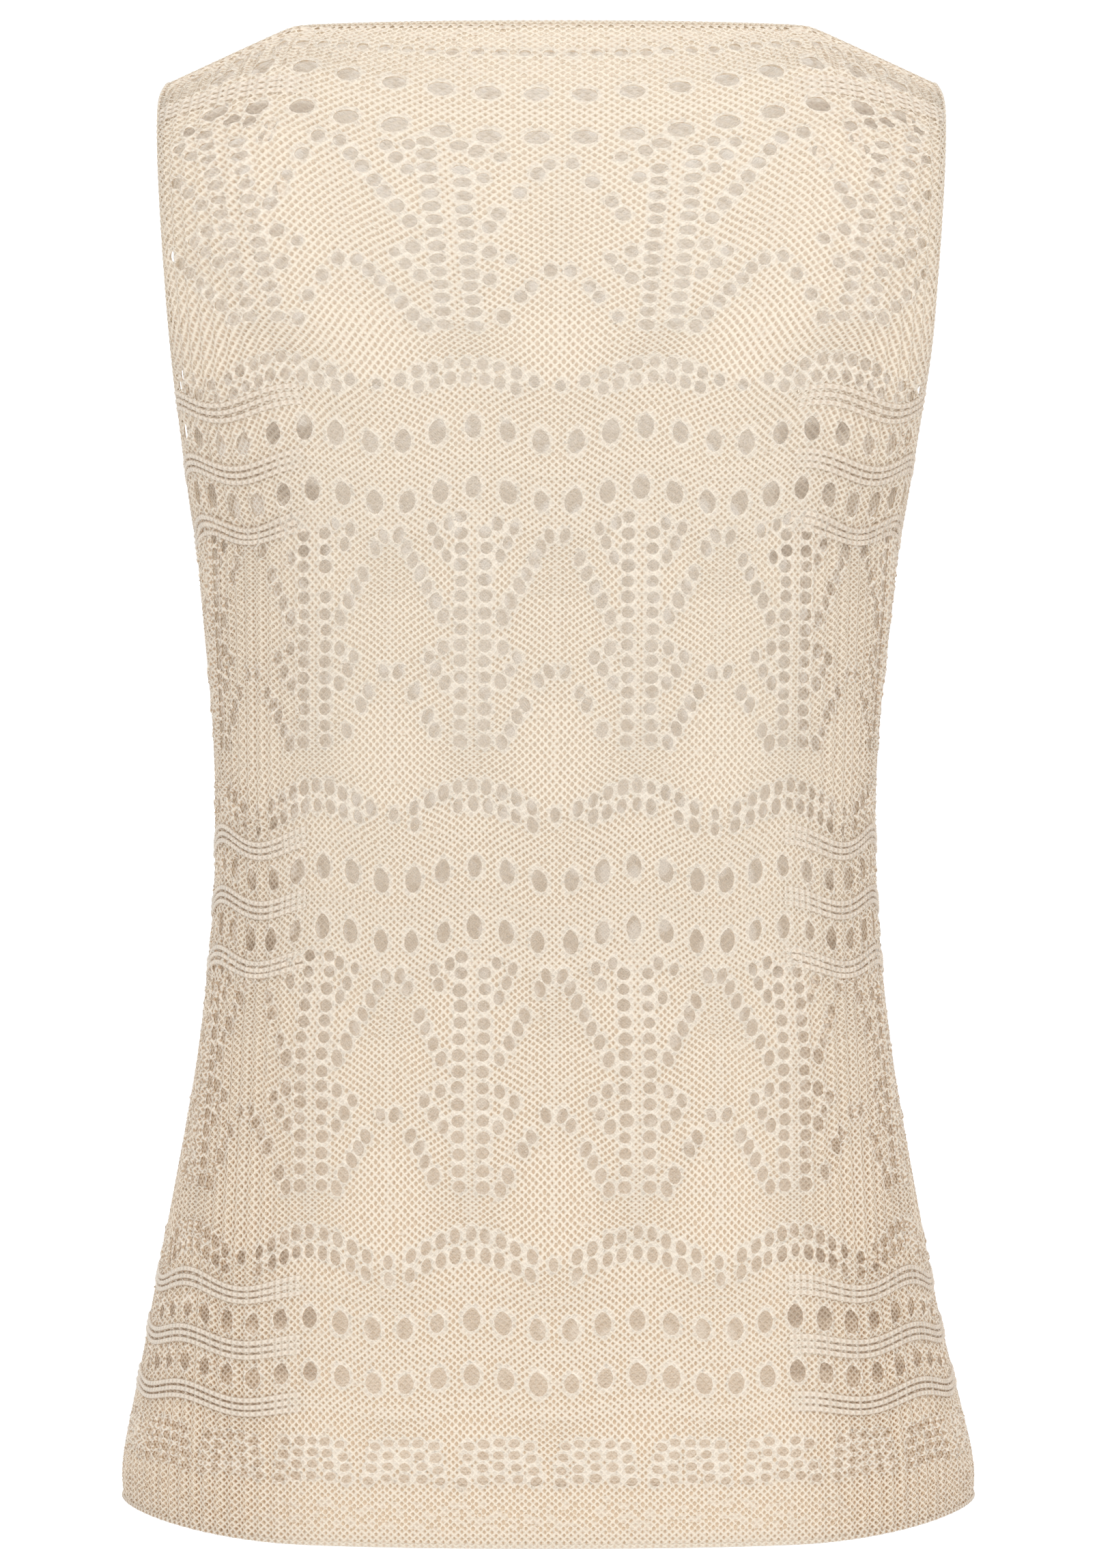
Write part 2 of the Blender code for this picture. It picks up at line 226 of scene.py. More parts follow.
# The leaf pattern fills three tiers between those rows. Each hole has its place across the repeat, from the
# leaf's middle at 0 to halfway to the next leaf at 0.5, and its place down the tier, from 0 to 1.
TIER_COLUMNS = ("top", "bottom", "height")
TIERS = ((0.0500, 0.1659, 0.84), (0.1888, 0.3321, 1.0), (0.3552, 0.5019, 1.0))
LEAF_HOLE_SCALE = 1.12
LEAF_REPEAT = 0.0632        # the repeat at which a leaf hole has its width below
LADDER = dict(across=0.426, first=0.057, last=0.648, holes=15, width=0.0052, height=0.0049)
HOLE_COLUMNS = ("across", "down", "width", "height", "lean")
LEAF_HOLES = (
    # outer outline of the leaf
    (0.047, 0.107, 0.0036, 0.0056, 18), (0.094, 0.138, 0.0038, 0.0056, 18), (0.135, 0.171, 0.0038, 0.0056, 18),
    (0.178, 0.207, 0.0038, 0.0056, 18), (0.223, 0.242, 0.0039, 0.0056, 16), (0.272, 0.279, 0.0040, 0.0056, 14),
    (0.321, 0.321, 0.0040, 0.0056, 12),
    # the step from the outer to the inner outline
    (0.324, 0.403, 0.0040, 0.0052, 10), (0.230, 0.427, 0.0036, 0.0048, 14), (0.277, 0.461, 0.0038, 0.0050, 12),
    (0.335, 0.495, 0.0040, 0.0052, 10),
    # inner outline
    (0.046, 0.465, 0.0036, 0.0054, 20), (0.094, 0.490, 0.0037, 0.0054, 20), (0.138, 0.519, 0.0038, 0.0054, 18),
    (0.186, 0.551, 0.0038, 0.0056, 18), (0.231, 0.583, 0.0039, 0.0056, 16), (0.278, 0.619, 0.0040, 0.0056, 14),
    (0.324, 0.653, 0.0040, 0.0056, 12),
    # the chevron above the leaf
    (0.355, 0.075, 0.0036, 0.0048, 10), (0.255, 0.089, 0.0034, 0.0048, -10),
    (0.291, 0.126, 0.0036, 0.0050, -10), (0.338, 0.162, 0.0036, 0.0050, -10),
    # the double wave below the leaf
    (0.000, 0.843, 0.0034, 0.0050, 0), (0.138, 0.826, 0.0035, 0.0054, 14), (0.233, 0.804, 0.0036, 0.0055, 14),
    (0.322, 0.786, 0.0036, 0.0055, 12), (0.409, 0.772, 0.0036, 0.0054, 8), (0.500, 0.766, 0.0034, 0.0050, 0),
    (0.000, 0.883, 0.0034, 0.0050, 0), (0.138, 0.870, 0.0035, 0.0054, 14), (0.233, 0.850, 0.0036, 0.0055, 14),
    (0.322, 0.834, 0.0036, 0.0055, 12), (0.409, 0.821, 0.0036, 0.0054, 8), (0.500, 0.815, 0.0034, 0.0050, 0),
)
# Fans of small slanting holes above the hem, 5 columns of 4 between two solid stripes.
FANS = dict(first=0.5460, last=0.5592, rows=4, columns=5, pitch=0.0362, spread=0.0250, width=0.0044,
            height=0.0033, lean=16)
# Double purl ridges beside the rows of eyelets, by how far they lie below the neck points.
RIDGES = (0.0432, 0.1545, 0.1773, 0.2005, 0.3205, 0.3437, 0.3668, 0.4905, 0.5120, 0.5335)
RIDGE_HEIGHT = 0.0005       # on a panel's middle, where the cloth is stretched
SIDE_RIDGE = (0.0012, 0.0015)   # half the width and the height of one roll at the sides
SIDE_FROM = 0.086           # from here to there, out from the centre line, the middle turns into the side
SIDE_TO = 0.120
RIB = 0.0066                # the cloth of the sides also lies in slight ribs
RIB_HEIGHT = 0.0005
# The top hangs a little to the left of the middle at the waist: how far, by the drop below the neck points.
LEANS = (
    (0.00, 0.0000), (0.13, -0.0002), (0.20, -0.0015), (0.30, -0.0024), (0.50, -0.0028), (0.56, -0.0014),
    (0.60, -0.0010),
)


def leaned(points):
    drops, leans = np.array(LEANS).T
    points[:, 0] += np.interp(-points[:, 2], drops, leans)
    return points


def smooth_table(table):
    """The sections with FINE steps between each two, on a smooth curve through them (Catmull-Rom)."""
    rows = np.array(table, float)
    before = np.vstack([2 * rows[0] - rows[1], rows[:-1]])
    after = np.vstack([rows[1:], 2 * rows[-1] - rows[-2]])
    slopes = (after - before) / 2
    out = []
    for k in range(len(rows) - 1):
        for step in range(FINE):
            t = step / FINE
            out.append((2 * t**3 - 3 * t**2 + 1) * rows[k] + (t**3 - 2 * t**2 + t) * slopes[k]
                       + (3 * t**2 - 2 * t**3) * rows[k + 1] + (t**3 - t**2) * slopes[k + 1])
    return np.array(out + [rows[-1]])


def armhole_gap(drop, reach):
    """How far a row's end stays from the side line, so that both panels leave an oval armhole."""
    share = min(max((UNDERARM - drop) / UNDERARM, 0), 1)
    up, across = ARMHOLE_POWERS
    return reach * (1 - abs(2 * share - 1) ** up) ** (1 / across)


def section_line(section, reach):
    """Points of one row from the centre line to its side edge, evenly spaced on the cloth, and its length."""
    s = dict(zip(SECTION_COLUMNS, section))
    end = armhole_gap(s["drop"], reach)
    r = np.sin(np.linspace(0, math.pi / 2, 6 * ACROSS))
    body = np.clip(1 - r**ROUNDNESS, 0, 1) ** (1 / ROUNDNESS)
    neck = np.clip(1 - (r / NECK_END) ** 2, 0, 1)
    round_in = (1 - s["neck_share"]) * body + s["neck_share"] * neck
    out = end + (s["depth"] - end) * round_in
    if s["end_rise"] < 0:
        past = (r - SLOPE_START) / (1 - SLOPE_START)
        fall = (past + np.sqrt(past**2 + SLOPE_SOFTNESS**2)) / 2
    else:
        fall = (np.clip(r - HEM_TURN, 0, 1) / (1 - HEM_TURN)) ** 2
    line = np.stack([s["half_width"] * r, out, s["end_rise"] * fall - s["drop"] - s["dip"] * neck], 1)
    run = np.concatenate([[0], np.cumsum(np.linalg.norm(np.diff(line, axis=0), axis=1))])
    even = np.linspace(0, run[-1], ACROSS + 1)
    return np.stack([np.interp(even, run, line[:, k]) for k in range(3)], 1), run[-1]


class Cloth:
    """A panel's surface. A place on it is (c, v): metres of cloth from the centre line, and up from the hem."""

    def __init__(self, table, reach, side, leaf_shift, aside):
        self.side = side
        self.leaf_shift = leaf_shift    # where the centre line lies in the repeat: 0 in a leaf, 0.5 between two
        self.aside = aside              # how far the knitted pattern sits to the right of the centre line
        sections = smooth_table(table)
        lines = [section_line(s, reach) for s in sections]
        self.points = np.array([line for line, _ in lines])
        self.points[:, :, 1] = side * (self.points[:, :, 1] + SEAM_GAP)
        self.half = np.array([length for _, length in lines])
        centre = self.points[:, 0]
        self.up = np.concatenate([[0], np.cumsum(np.linalg.norm(np.diff(centre, axis=0), axis=1))])
        self.drops = sections[:, 0]
        self.length = self.up[-1]
        along_row = np.gradient(self.points, axis=1)
        along_up = np.gradient(self.points, axis=0)
        normals = side * np.cross(along_up, along_row)
        normals[np.abs(self.points[:, :, 1]) < 2 * SEAM_GAP, 1] = 0
        normals[:, 0, 0] = 0
        self.normals = normals / np.linalg.norm(normals, axis=2, keepdims=True)

    def half_length(self, v):
        """Metres of cloth from the centre line to the side edge at height v."""
        return np.interp(v, self.up, self.half)

    def height_at(self, drop):
        """v of the row that lies this far below the neck points at the centre."""
        return np.interp(-np.asarray(drop), -self.drops, self.up)

    def drop_at(self, v):
        """How far the row at height v lies below the neck points at the centre."""
        return np.interp(v, self.up, self.drops)

    def look_up(self, grid, c, v):
        row = np.interp(v, self.up, np.arange(len(self.up)))
        col = np.clip(np.abs(c) / self.half_length(v), 0, 1) * ACROSS
        r0 = np.minimum(row.astype(int), len(self.up) - 2)
        c0 = np.minimum(col.astype(int), ACROSS - 1)
        fr, fc = (row - r0)[:, None], (col - c0)[:, None]
        low = grid[r0, c0] * (1 - fc) + grid[r0, c0 + 1] * fc
        high = grid[r0 + 1, c0] * (1 - fc) + grid[r0 + 1, c0 + 1] * fc
        found = low * (1 - fr) + high * fr
        found[:, 0] *= np.where(c < 0, -1, 1)
        return found

    def place(self, c, v, out):
        """Points at cloth places (c, v), moved out of the surface by out."""
        c, v = np.asarray(c, float), np.asarray(v, float)
        normal = self.look_up(self.normals, c, v)
        normal /= np.linalg.norm(normal, axis=1, keepdims=True)
        found = self.look_up(self.points, c, v) + normal * np.asarray(out)[:, None]
        found[:, 1] = self.side * np.maximum(self.side * found[:, 1], SEAM_GAP)
        return leaned(found)


def repeat_at(drop):
    drops, repeats = np.array(REPEATS).T
    return np.interp(drop, drops, repeats)


def across_at(cloth, c, drop):
    """How many repeats a place lies from a leaf's middle."""
    return (c - cloth.aside) / repeat_at(drop) + cloth.leaf_shift


def bend_at(c, drop):
    """How far the yoke's rows stand above their height at the centre."""
    drops, shares = np.array(YOKE_SHARES).T
    bend = YOKE_BEND * c**2
    return bend / (1 + (bend / YOKE_LIFT) ** 4) ** 0.25 * np.interp(drop, drops, shares)


def wave_at(cloth, c, drop):
    drops, waves = np.array(WAVES).T
    return -np.interp(drop, drops, waves) * np.cos(2 * math.pi * across_at(cloth, c, drop))


def course_drop(cloth, c, v):
    """The drop at the centre of the course that runs through each place."""
    drop = cloth.drop_at(v)
    for _ in range(4):
        drop = cloth.drop_at(np.clip(v - bend_at(c, drop) - wave_at(cloth, c, drop), 0, cloth.length))
    return drop


EDGE_MARGIN = 0.0045        # least cloth between a large hole and the side seam
ARMHOLE_MARGIN = 0.0125     # the same at the armhole
HEM_MARGIN = 0.006          # from the hem to a large hole's middle
TOP_MARGIN = 0.003          # from a large hole's top to the top row


def lace_holes(cloth, chance):
    """Every large hole of a panel: centre, half width, half height, lean in radians, how pointed its top is,
    and its kind: 0 in the leaf pattern and the fans, 1 in a row of eyelets."""
    found = []

    def add(c, v, width, height, lean, point, kind=0):
        size = 1 + 0.05 * chance.standard_normal()
        shift = 0.0002 * chance.standard_normal(2)
        found.append((c + shift[0], v + shift[1], width * size / 2, height * size / 2,
                      math.radians(lean + 4 * chance.standard_normal()), point, kind))

    for values in EYELET_ROWS:
        row = dict(zip(ROW_COLUMNS, values))
        pitch = repeat_at(row["drop"]) / row["per_repeat"]
        count = int(HALF_WIDTH / pitch)
        for k in range(-count, count + 1):
            c = (k + 0.5 - row["per_repeat"] * cloth.leaf_shift) * pitch + cloth.aside
            v = cloth.height_at(row["drop"]) + bend_at(c, row["drop"]) + wave_at(cloth, c, row["drop"])
            lean = row["lean"] * math.sin(2 * math.pi * across_at(cloth, c, row["drop"]))
            add(c, v, row["width"], row["height"], lean, row["point"], 1)

    for values in TIERS:
        tier = dict(zip(TIER_COLUMNS, values))
        chart = [dict(zip(HOLE_COLUMNS, hole)) for hole in LEAF_HOLES]
        for hole in chart:
            hole["width"] *= LEAF_HOLE_SCALE
            hole["height"] *= LEAF_HOLE_SCALE
        for k in range(LADDER["holes"]):
            down = LADDER["first"] + (LADDER["last"] - LADDER["first"]) * k / (LADDER["holes"] - 1)
            chart.append(dict(across=LADDER["across"], down=down, width=LADDER["width"],
                              height=LADDER["height"], lean=0))
        for hole in chart:
            drop = tier["top"] + hole["down"] * (tier["bottom"] - tier["top"])
            repeat = float(repeat_at(drop))
            wide = hole["width"] * repeat / LEAF_REPEAT
            high = hole["height"] * tier["height"]
            for leaf in range(-4, 5):
                sides = (1,) if hole["across"] in (0.0, 0.5) else (1, -1)
                for side in sides:
                    c = (leaf + side * hole["across"] - cloth.leaf_shift) * repeat + cloth.aside
                    v = cloth.height_at(drop) + bend_at(c, drop)
                    add(c, v, wide, high, side * hole["lean"], 0.15)

    count = int(HALF_WIDTH / FANS["pitch"])
    for fan in range(-count, count):
        middle = (fan + 0.5) * FANS["pitch"]
        for row in range(FANS["rows"]):
            drop = FANS["first"] + (FANS["last"] - FANS["first"]) * row / (FANS["rows"] - 1)
            for column in range(FANS["columns"]):
                share = 2 * column / (FANS["columns"] - 1) - 1
                spread = FANS["spread"] / 2 * (0.9 + 0.2 * row / (FANS["rows"] - 1))
                v = cloth.height_at(drop) - 0.0012 * share**2
                add(middle + share * spread, v, FANS["width"], FANS["height"], -share * FANS["lean"], 0.1)

    found = np.array(found)
    reach = np.maximum(found[:, 2], found[:, 3] * np.abs(np.sin(found[:, 4])))
    reach += np.where(cloth.drop_at(found[:, 1]) < UNDERARM, ARMHOLE_MARGIN, EDGE_MARGIN)
    inside = (np.abs(found[:, 0]) + reach < cloth.half_length(found[:, 1])) & (found[:, 1] > HEM_MARGIN)
    inside &= found[:, 1] + found[:, 3] + TOP_MARGIN < cloth.length
    inside &= np.abs(found[:, 0]) + reach < cloth.half_length(found[:, 1] + found[:, 3])
    return found[inside]


CELL = 0.00025              # raster on which the holes are kept apart
RASTER_RIM = 0.01           # the raster reaches this far past the panel


class Raster:
    """How near each spot of the cloth is to a large hole: 1 on its edge, more further out."""

    def __init__(self, cloth, margin):
        self.width = float(cloth.half.max()) + RASTER_RIM
        self.margin = margin
        rows, columns = int((cloth.length + 2 * RASTER_RIM) / CELL), int(2 * self.width / CELL)
        self.grid = np.full((rows, columns), 9.0)
        self.bare = self.grid.copy()

    def window(self, c, v, reach):
        x0, x1 = int((c - reach + self.width) / CELL), int((c + reach + self.width) / CELL) + 2
        y0, y1 = int((v - reach + RASTER_RIM) / CELL), int((v + reach + RASTER_RIM) / CELL) + 2
        x0, y0 = max(x0, 0), max(y0, 0)
        return slice(y0, y1), slice(x0, x1), x0, y0

    def nearness(self, hole, rows, columns, x0, y0, margin):
        c, v, a, b, lean = hole[:5]
        part = self.grid[rows, columns]
        y, x = np.mgrid[0:part.shape[0], 0:part.shape[1]]
        dx = (x + x0) * CELL - self.width - c
        dy = (y + y0) * CELL - RASTER_RIM - v
        along = dx * math.sin(lean) + dy * math.cos(lean)
        aside = dx * math.cos(lean) - dy * math.sin(lean)
        return np.sqrt((aside / (a + margin)) ** 2 + (along / (b + margin)) ** 2)

    def add(self, hole):
        """Keeps the hole unless it would run into one that is there already."""
        rows, columns, x0, y0 = self.window(hole[0], hole[1], max(hole[2], hole[3]) * 2.2 + 0.002)
        near = self.nearness(hole, rows, columns, x0, y0, self.margin)
        if (self.grid[rows, columns][near < 0.8] < 1.0).any():
            return False
        self.grid[rows, columns] = np.minimum(self.grid[rows, columns], near)
        near = self.nearness(hole, rows, columns, x0, y0, 0.0002)
        self.bare[rows, columns] = np.minimum(self.bare[rows, columns], near)
        return True

    def at(self, grid, c, v):
        x = np.clip(((c + self.width) / CELL).astype(int), 0, grid.shape[1] - 1)
        y = np.clip(((v + RASTER_RIM) / CELL).astype(int), 0, grid.shape[0] - 1)
        return grid[y, x]


def ridge_share(drop):
    """How far up a place is on a double purl ridge, two rolls a course apart: 1 on top of a roll."""
    relief = np.zeros_like(drop)
    for ridge in RIDGES:
        for roll in (-0.5, 0.5):
            relief += np.exp(-(((drop - ridge) / COURSE - roll) * 2.6) ** 2)
    return relief


def side_share(c):
    """0 on the middle of a panel, where the cloth is stretched, and 1 at its sides, where it isn't."""
    side = np.clip((np.abs(c) - SIDE_FROM) / (SIDE_TO - SIDE_FROM), 0, 1)
    return side**2 * (3 - 2 * side)


def net_holes(cloth, raster, chance):
    """The small holes between the stitches, staggered: centre, half width, half height."""
    rows = np.arange(FIRST_ROW, 0.5840, COURSE / 2)
    found = []
    for number, drop in enumerate(rows[::-1]):
        pitch = float(repeat_at(drop)) / WALES
        count = int(HALF_WIDTH / pitch)
        c = (np.arange(-count, count + 1) + 0.5 * (number % 2)) * pitch
        c = c + 0.00014 * chance.standard_normal(len(c))
        shift = 0.00012 * chance.standard_normal(len(c))
        v = shift + cloth.height_at(drop) + bend_at(c, drop) + wave_at(cloth, c, drop)
        above = drop - COURSE
        higher = cloth.height_at(above) + bend_at(c, above) + wave_at(cloth, c, above)
        course = np.clip(higher - v, 0.0, 0.004)
        near = raster.at(raster.grid, c, v)
        share = np.abs((across_at(cloth, c, drop) + 0.5) % 1 - 0.5)
        size = np.ones_like(c)
        size[near < 1.35] *= 0.62                   # beside a large hole
        size *= 1 - 0.45 * np.clip(ridge_share(np.full_like(c, drop)), 0, 1)
        for top, bottom, _ in TIERS:
            down = (drop - top) / (bottom - top)
            if 0.04 < down < 0.74:
                size[share > 0.462] *= 0.5          # the rib between two ladders
                size[share < 0.022] *= 0.55         # the leaf's middle rib
            if -0.08 < down < 0.08 and drop > 0.1:
                size *= 0.72                        # the first courses after the eyelets
        edge = cloth.half_length(v) - np.abs(c)
        size[edge < 0.0085] *= 0.55
        if drop < 0.030 or drop > 0.568:
            size *= 1.22                            # the plain net at the neck and the hem
        size *= np.where(v < 0.007, 0.6, 1)
        size *= 1 + 0.14 * chance.standard_normal(len(c))
        wide = 0.225 * pitch * size
        high = 0.325 * course * size
        keep = (near > 1.20) & (edge > 0.0019) & (v > 0.0022) & (v + high < cloth.length - 0.0018)
        keep &= (wide > 0.00012) & (high > 0.00016)
        keep &= np.abs(c) + wide + 0.0012 < cloth.half_length(v + high)
        found.append(np.stack([c, v, wide, high], 1)[keep])
    return np.vstack(found)


def hole_points(c, v, a, b, lean, point, corners):
    """Corners of one hole, narrower towards its top by point."""
    turn = 2 * math.pi * (np.arange(corners) + 0.5) / corners
    up = np.sin(turn)
    aside = a * np.cos(turn) * (1 - point * np.clip(up, 0, 1) ** 2)
    along = b * up
    return np.stack([c + aside * math.cos(lean) + along * math.sin(lean),
                     v - aside * math.sin(lean) + along * math.cos(lean)], 1)


def outline(cloth):
    """The panel's edge all round, in close steps."""
    v = np.linspace(0, cloth.length, 400)
    right = np.stack([cloth.half_length(v), v], 1)

    def row(height):
        reach = float(cloth.half_length(height))
        c = np.linspace(-reach, reach, 260)[1:-1]
        return np.stack([c, np.full_like(c, height)], 1)

    return np.vstack([row(0.0), right, row(cloth.length)[::-1], right[::-1] * (-1, 1)])


def triangulate(cloth, places, loops, small, corners):
    """Triangles over the panel, and which of them lie inside a hole. loops are the outline and the large holes;
    each small hole has the same number of corners, the first at the index in small."""
    loops_small = small[:, None] + np.arange(corners)
    edges = [(int(a), int(b)) for loop in loops for a, b in zip(loop, np.roll(loop, -1))]
    following = np.roll(loops_small, -1, axis=1)
    edges += [(int(a), int(b)) for a, b in zip(loops_small.ravel(), following.ravel())]
    hole = np.full(len(places), -1)
    for number, loop in enumerate(loops[1:]):
        hole[loop] = number
    hole[loops_small] = (len(loops) + np.arange(len(small)))[:, None]
    points = [Vector(p) for p in places.tolist()]
    verts, _, faces, source, _, _ = delaunay_2d_cdt(points, edges, [], 0, 1e-8)
    verts = np.array([tuple(p) for p in verts])
    faces = np.array(faces)
    origin = np.array([s[0] if s else -1 for s in source])
    in_hole = np.where(origin >= 0, hole[np.maximum(origin, 0)], -1)
    three = in_hole[faces]
    inside = (three[:, 0] >= 0) & (three[:, 0] == three[:, 1]) & (three[:, 1] == three[:, 2])
    middle = verts[faces].mean(axis=1)
    keep = np.abs(middle[:, 0]) < cloth.half_length(middle[:, 1]) - 1e-7
    keep &= (middle[:, 1] > 1e-7) & (middle[:, 1] < cloth.length - 1e-7)
    return verts, faces[keep], inside[keep], origin


def panel_pieces(name, cloth, verts, faces, behind, out, cuts, rim_highlight):
    """Meshes of the triangles, moved out of the surface by out and cut into pieces at the heights in cuts.
    Those in behind get the second material, the painted shade that closes holes. The rim values are 1 on the
    loops of yarn round the large holes, which get a painted highlight."""
    c, v = verts.T
    drop = course_drop(cloth, c, v)
    wale = c / repeat_at(drop) * WALES
    row = (drop - FIRST_ROW) / COURSE
    points = cloth.place(c, v, out)
    height = v[faces].mean(axis=1)
    pieces = []
    for number, (low, high) in enumerate(zip(cuts[:-1], cuts[1:])):
        chosen = (height >= low) & (height < high)
        part = faces[chosen]
        used, renumbered = np.unique(part, return_inverse=True)
        mesh = bpy.data.meshes.new(f"{name}_{number}")
        triangles = renumbered.reshape(-1, 3)
        if cloth.side > 0:
            triangles = triangles[:, ::-1]
        mesh.from_pydata(points[used].tolist(), [], triangles.tolist())
        mesh.polygons.foreach_set("material_index", behind[chosen].astype(np.int32))
        corner = np.empty(len(mesh.loops), dtype=np.int64)
        mesh.loops.foreach_get("vertex_index", corner)
        corner = used[corner]
        knit = mesh.uv_layers.new(name="knit")
        knit.data.foreach_set("uv", np.stack([wale[corner], 2 * row[corner]], 1).ravel())
        bake = mesh.uv_layers.new(name="OFBake")
        span = max(np.ptp(c[used]), np.ptp(v[used])) * 1.01
        flat_uv = np.stack([(c[corner] - c[used].min()) / span, (v[corner] - v[used].min()) / span], 1)
        bake.data.foreach_set("uv", flat_uv.ravel())
        mesh.attributes.new("rim_highlight", "FLOAT", "POINT").data.foreach_set("value", rim_highlight[used])
        mesh.shade_smooth()
        panel = bpy.data.objects.new(f"{name}_{number}", mesh)
        bpy.context.scene.collection.objects.link(panel)
        pieces.append(panel)
    return pieces


PIECE_CUTS = (0.0, 0.17, 0.37, 0.7)     # heights on the cloth at which the face half is cut into pieces
WHOLE = (0.0, 0.7)
HOLES_APART = 0.0005        # half the least cloth between two large holes
LARGE_HOLE = 0.0024         # a hole above this half size gets 12 corners
INNER_SIZE = (1.07, 1.04)   # the holes' size in the inner half: in the leaf pattern, in the rows of eyelets
LIP = 0.0007                # width of the looped yarn round a large hole
LIP_RISE = 0.0006
STITCH_RISE = 0.00022
FACE = -0.0004              # where the face half of the knit lies, from the outer surface
INNER_FACE = -0.0013        # where its inner half lies
MESH_STEP = 0.006


def knit_panel(name, cloth, corners, seed, shaded=False):
    """The lace of one panel in two halves: the face with every hole, and behind it the inner half of the
    stitches, where only large holes go through, or none, and the patches inside them take a painted shade."""
    chance = np.random.default_rng(seed)
    raster = Raster(cloth, HOLES_APART)
    large = np.array([hole for hole in lace_holes(cloth, chance) if raster.add(hole)])
    small = net_holes(cloth, raster, chance)
    edge = outline(cloth)
    places = [edge]
    loops = [np.arange(len(edge))]
    lips = []
    total = len(edge)
    for c, v, a, b, lean, point, _ in large:
        count = 12 if max(a, b) > LARGE_HOLE else 10
        places.append(hole_points(c, v, a, b, lean, point, count))
        lips.append(hole_points(c, v, a + LIP, b + LIP, lean, point, count))
        loops.append(np.arange(total, total + count))
        total += count
    rims = total
    lips = np.vstack(lips)
    lips = lips[(raster.at(raster.bare, *lips.T) > 1.04) & (lips[:, 1] > 0.001)]
    places.append(lips)
    total += len(lips)
    turn = 2 * math.pi * (np.arange(corners) + 0.5 * (corners % 2 == 0) + 0.25 * (corners % 2)) / corners
    wide, high = small[:, 2, None] * np.cos(turn), small[:, 3, None] * np.sin(turn)
    ring = small[:, None, :2] + np.stack([wide, high], 2)
    ring += 0.00006 * chance.standard_normal(ring.shape)
    places.append(ring.reshape(-1, 2))
    verts, faces, inside, origin = triangulate(cloth, np.vstack(places), loops,
                                               total + corners * np.arange(len(small)), corners)
    faces = faces[~inside]
    drop = course_drop(cloth, *verts.T)
    ribs = np.cos(2 * math.pi * verts[:, 0] / RIB) * side_share(verts[:, 0])
    out = RIDGE_HEIGHT * ridge_share(drop) * (1 - side_share(verts[:, 0])) + RIB_HEIGHT * ribs + FACE
    out += STITCH_RISE * np.sin(2 * math.pi * ((drop - FIRST_ROW) / COURSE + 0.25))
    out[(origin >= rims) & (origin < total)] += LIP_RISE
    # The loops of yarn round the large holes get a painted highlight in the material.
    rim_highlight = ((origin >= len(edge)) & (origin < total)).astype(float)
    nowhere = np.zeros(len(faces), dtype=bool)
    face_side = panel_pieces(name, cloth, verts, faces, nowhere, out, PIECE_CUTS, rim_highlight)

    places, loops = [edge], [np.arange(len(edge))]
    total = len(edge)
    for c, v, a, b, lean, point, kind in large:
        size = INNER_SIZE[int(kind)] * (1 + 0.06 * float(side_share(c)))
        count = 12 if max(a, b) > LARGE_HOLE else 8
        places.append(hole_points(c, v, a * size, b * size, lean, point, count))
        loops.append(np.arange(total, total + count))
        total += count
    grid = np.mgrid[0:cloth.length:MESH_STEP, -0.3:0.3:MESH_STEP].reshape(2, -1)[::-1].T
    grid = grid[np.abs(grid[:, 0]) < cloth.half_length(grid[:, 1]) - 0.001]
    grid = grid[(raster.at(raster.bare, *grid.T) > 1.2) & (grid[:, 1] > 0.001)]
    places.append(grid)
    none = np.zeros(0, dtype=np.int64)
    verts, faces, inside, _ = triangulate(cloth, np.vstack(places), loops, none, corners)
    # When shaded, the triangles inside the holes stay and take the second material, a painted shade that closes
    # the holes.
    if not shaded:
        faces, inside = faces[~inside], inside[~inside]
    out = INNER_FACE + 0.0003 * side_share(verts[:, 0])
    rim_highlight = np.zeros(len(verts))
    inner_side = panel_pieces(f"{name}_inner", cloth, verts, faces, inside, out, WHOLE, rim_highlight)
    return face_side, inner_side


def finish_pieces(pieces, yarns, replaced=None):
    """Gives the pieces their yarns and fixes them to the top, in place of a plain solid where one is named."""
    for piece in pieces:
        for finish in yarns:
            piece.data.materials.append(finish)
        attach(piece, "root")
        if replaced:
            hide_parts(replaced)


